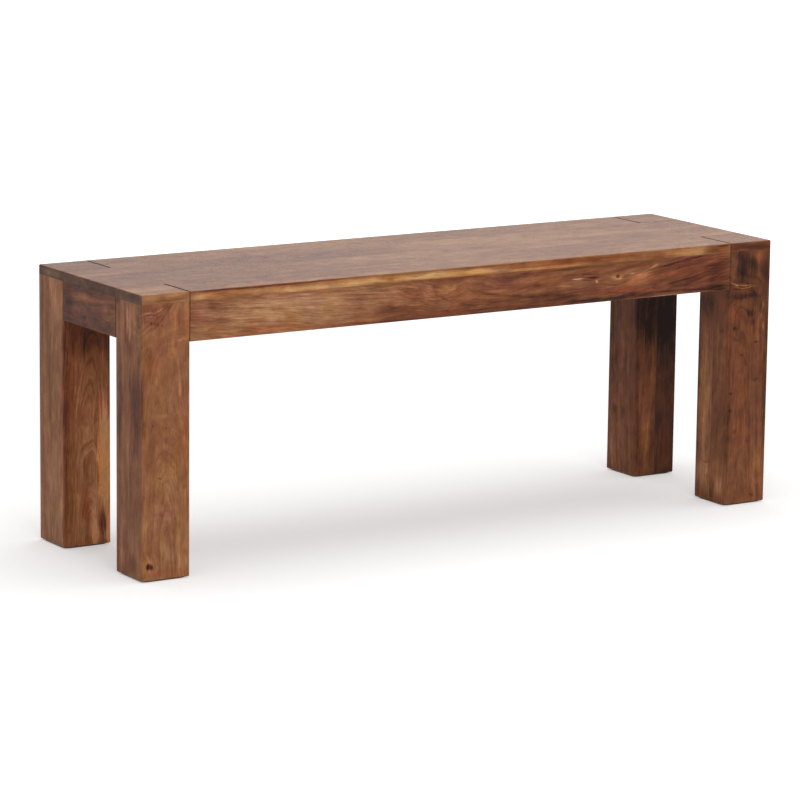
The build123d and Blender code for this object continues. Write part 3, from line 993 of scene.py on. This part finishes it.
marks = (
    left_end(105, 50, 34, 40, -8, (100, 96, 90), deep=8),
    left_end(108, 42, 18, 12, -5, (98, 98, 96)),
    left_end(99, 48, 16, 56, -10, (106, 80, 56), deep=8),
    left_end(222, 62, 50, 13, -12, (100, 98, 94), deep=8),
    # Painted shade along the top of the rail, just under the seat
    left_end(172, 18.5, 90, 6, -15, (100, 96, 98)),
    left_end(190, 23, 50, 3, -12, wine, turn=2),
    left_end(225, 40, 46, 10, 16, (102, 99, 96)),
    left_end(170, 74, 90, 6, -7, (100, 98, 96)),
    left_end(132, 36, 20, 12, 6),
    left_end(240, 41, 26, 5, 6),
    left_end(150, 31, 32, 6, 16, (102, 98, 95), turn=-3),
    left_end(176, 31, 14, 5, 8, (100, 100, 92)),
    left_end(222, 27, 44, 3, 14, salmon, turn=-8),
    left_end(220, 33, 46, 1.6, -16, turn=-8),
    left_end(235, 39, 36, 3.4, 14, salmon, turn=-10),
    left_end(240, 42, 8, 6, -14, olive),
    left_end(230, 54, 14, 2, 14, salmon, turn=10),
    left_end(250, 58, 14, 8, 6),
    left_end(157, 63, 7, 6, -14, wine),
    left_end(154, 73, 8, 4, -14, wine),
    left_end(128, 52, 8, 6, 8, salmon),
    left_end(190, 48, 44, 5, -8, heart_purple, turn=-8),
    left_end(128, 62, 30, 8, -6, heart_purple),
    left_end(172, 44, 80, 40, deep=14, curl=26),
)
solid_wood(
    "left_end_rail", "y", (-560, 0, 330), lean=(0, 0, -0.12), tone=0.385, tint=(1.0, 0.985, 0.89), seed=42,
    marks=marks, **end_rail | dict(band=0.22, lines=0.18, mottle=0.28, fibre=0.3),
)
solid_wood("right_end_rail", "y", (540, 30, 310), lean=(0, 0, 0.06), tone=0.44, seed=43, **end_rail)


# Two cross battens under the seat, housed in the long rails: planed and sanded, and left bare.
bare = dict(roughness=0.6, gloss=0.3)
batten_middle, batten_half_width, batten_under, past_batten = 200, 22.5, 415, 300
batten_block = (
    (batten_middle - batten_half_width, -past_batten, batten_under),
    (batten_middle + batten_half_width, past_batten, seat_top + past_top),
)
for number, (batten, x) in enumerate((("left_batten", -batten_middle), ("right_batten", batten_middle))):
    solid_wood(
        batten, "y", (x, 0, 380), lean=(0.03, 0, 0.04), tone=0.66, seed=50 + number,
        block=batten_block, **bare,
    )


# The dowels: plain round pegs of a pale bare wood, glued into the leg and the cap, two under each cap.
# They have no arris to paint paler, so their block is one that reaches far past them.
far_block = ((0, 0, 0), (9e3, 9e3, 9e3))
solid_wood("cap_dowels", "z", (0, 0, 0), tone=0.92, seed=60, block=far_block, **bare)


# The screws: round-headed and zinc plated, one to each stave at each batten, driven up through the
# batten's slot into the stave. The head is a low dome with a cross recess over a coarse thread.
head_radius = 0.0045
head_height = 0.003
shank_radius = 0.00225
core_radius = 0.0016
plain_shank = 0.008
screw_point = 0.004
thread_pitch = 0.002
recess_depth = 0.0013
arm_length = 0.0023
arm_half_width = 0.0005
arm_foot_share = 1.4
arm_end_share = 0.8
blunt_point = 0.0004
thread_sharpness = 3
dome_from = 0.04
sharp_from = 35
plate_noise = (900.0, 3.0, 0.6)
plate_tones = {0.0: (150, 150, 148), 1.0: (206, 207, 205)}
plate_roughness = (0.28, 0.45)
steps_around, steps_over_head, steps_down_shank = 64, 22, 130
stave_names = ("seat_front_stave", "seat_inner_front_stave", "seat_inner_back_stave", "seat_back_stave")


def fading(value, start, end):
    """1 up to the start, then falling evenly to 0 at the end."""
    return np.clip((end - value) / (end - start), 0.0, 1.0)


def closed_skin(name, rings, places, material):
    """Closed shells, one at each place: four-sided faces between rings, and a fan over each end.

    rings is an array of rings x points x 3, from one end to the other, each ring running the same way.
    """
    count, around = rings.shape[:2]
    points = np.concatenate([rings.reshape(-1, 3), rings[:1].mean(axis=1), rings[-1:].mean(axis=1)])
    ring, step = np.meshgrid(np.arange(count - 1), np.arange(around), indexing="ij")
    here = ring * around + step
    beside = ring * around + (step + 1) % around
    sides = np.stack([here, beside, beside + around, here + around], axis=-1).reshape(-1, 4)
    first_end, last_end = count * around, count * around + 1
    start = np.stack([np.full(around, first_end), beside[0], here[0]], axis=-1)
    end = np.stack([np.full(around, last_end), here[-1] + around, beside[-1] + around], axis=-1)
    all_points = (np.asarray(places)[:, None, :] + points).reshape(-1, 3)
    faces = []
    for number in range(len(places)):
        shift = number * len(points)
        for group in (sides, start, end):
            faces += (group + shift).tolist()
    mesh = bpy.data.meshes.new(name)
    mesh.from_pydata(all_points.tolist(), [], faces)
    mesh.polygons.foreach_set("use_smooth", np.ones(len(faces), dtype=bool))
    mesh.set_sharp_from_angle(angle=math.radians(sharp_from))
    mesh.materials.append(material)
    made = bpy.data.objects.new(name, mesh)
    bpy.context.scene.collection.objects.link(made)
    return made


screw_low, screw_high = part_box("batten_screws")
under_batten = screw_low.z + head_height
screw_length = screw_high.z - under_batten
angle = np.linspace(0, 2 * math.pi, steps_around, endpoint=False)

# The dome, as a quarter turn from the middle of the head to its rim, with the recess let into it
turn = np.linspace(dome_from, math.pi / 2, steps_over_head)[:, None]
out = head_radius * np.sin(turn)
along_x, along_y = abs(out * np.cos(angle)), abs(out * np.sin(angle))
arm_sides = (arm_half_width, arm_foot_share * arm_half_width)
arm_ends = (arm_end_share * arm_length, arm_length)
arm_x = fading(along_y, *arm_sides) * fading(along_x, *arm_ends)
arm_y = fading(along_x, *arm_sides) * fading(along_y, *arm_ends)
dome_up = recess_depth * np.maximum(arm_x, arm_y) - head_height * np.cos(turn)
dome = np.stack([out * np.cos(angle), out * np.sin(angle), dome_up], axis=-1)

# The shank, whose thread is a ridge that climbs one pitch a turn and dies out at the point
up = np.linspace(0, screw_length, steps_down_shank)[:, None]
ridge = abs(((up / thread_pitch - angle / (2 * math.pi)) % 1.0) - 0.5) * 2
threaded = 1 - fading(up, plain_shank, plain_shank + thread_pitch)
wide = shank_radius - (shank_radius - core_radius) * threaded * (1 - ridge**thread_sharpness)
wide = wide * fading(up, screw_length - screw_point, screw_length + blunt_point)
shank = np.stack([wide * np.cos(angle), wide * np.sin(angle), up + 0 * angle], axis=-1)

steel, tree, output = new_material("screw_zinc_plate")
place = node(tree, "TexCoord").outputs["Object"]
clouds = node(tree, "TexNoise", place, None, *plate_noise).outputs["Fac"]
dull = node(tree, "MapRange", clouds, 0.3, 0.7, *plate_roughness).outputs[0]
surface = fill(tree, node(tree, "BsdfPrincipled"), {
    "Metallic": 1.0, "Base Color": toned(tree, clouds, plate_tones), "Roughness": dull,
})
tree.links.new(surface, output.inputs[0])

stave_middles = [(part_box(name)[0].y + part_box(name)[1].y) / 2 for name in stave_names]
batten_middles = [(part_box(name)[0].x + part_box(name)[1].x) / 2 for name in ("left_batten", "right_batten")]
screw_places = [(x, y, under_batten) for x in batten_middles for y in stave_middles]
screws = closed_skin("round_headed_screws", np.concatenate([dome, shank]), screw_places, steel)
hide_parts("batten_screws")
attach(screws, "root")


# The foot pads: squares of dense dark felt, stuck under the legs and set in from their edges, which
# show as a thin line of shadow. Their cut edges are soft, and a little uneven.
pad_soft_edge = 0.0008
pad_corner_power = 9.0
pad_unevenness = 0.00012
pad_inset_shares = np.array([0.7, 0.35, 0.1])
pad_waves = (7, 11)
felt_noise = (2600.0, 4.0, 0.7)
felt_tones = {0.0: (40, 35, 32), 1.0: (96, 86, 78)}
felt_roughness, felt_relief, felt_relief_height = 0.95, 0.6, 0.0003
rim_steps, pad_steps_around = 9, 96

felt, tree, output = new_material("dark_felt")
place = node(tree, "TexCoord").outputs["Object"]
hairs = node(tree, "TexNoise", place, None, *felt_noise).outputs["Fac"]
relief = fill(tree, node(tree, "Bump"), {
    "Strength": felt_relief, "Distance": felt_relief_height, "Height": hairs,
})
surface = fill(tree, node(tree, "BsdfPrincipled"), {
    "Base Color": toned(tree, hairs, felt_tones), "Normal": relief, "Roughness": felt_roughness,
})
tree.links.new(surface, output.inputs[0])

for corner in ("front_left", "front_right", "back_left", "back_right"):
    low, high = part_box("foot_pad_" + corner)
    middle = (low + high) / 2
    half_width, thickness = (high.x - low.x) / 2, high.z - low.z
    # From the middle of the top, out and round the soft rim, and back to the middle underneath
    rim = np.linspace(0, math.pi, rim_steps)
    flat_inset = pad_inset_shares * half_width
    rim_inset = pad_soft_edge * (1 - np.sin(rim))
    inset = np.concatenate([flat_inset, rim_inset, flat_inset[::-1]])[:, None]
    height = np.concatenate([np.ones(3), (1 + np.cos(rim)) / 2, np.zeros(3)])[:, None] * thickness
    angle = np.linspace(0, 2 * math.pi, pad_steps_around, endpoint=False)
    square = abs(np.cos(angle)) ** pad_corner_power + abs(np.sin(angle)) ** pad_corner_power
    waves = [np.sin(w * angle + start) for w, start in zip(pad_waves, (middle.x, middle.y))]
    uneven = pad_unevenness * (1 + waves[0] * waves[1])
    reach = (half_width - inset - uneven) / square ** (1 / pad_corner_power)
    rings = np.stack([reach * np.cos(angle), reach * np.sin(angle), height + 0 * angle], axis=-1)[::-1]
    pad = closed_skin("felt_pad_" + corner, rings, [(middle.x, middle.y, low.z)], felt)
    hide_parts("foot_pad_" + corner)
    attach(pad, "root")
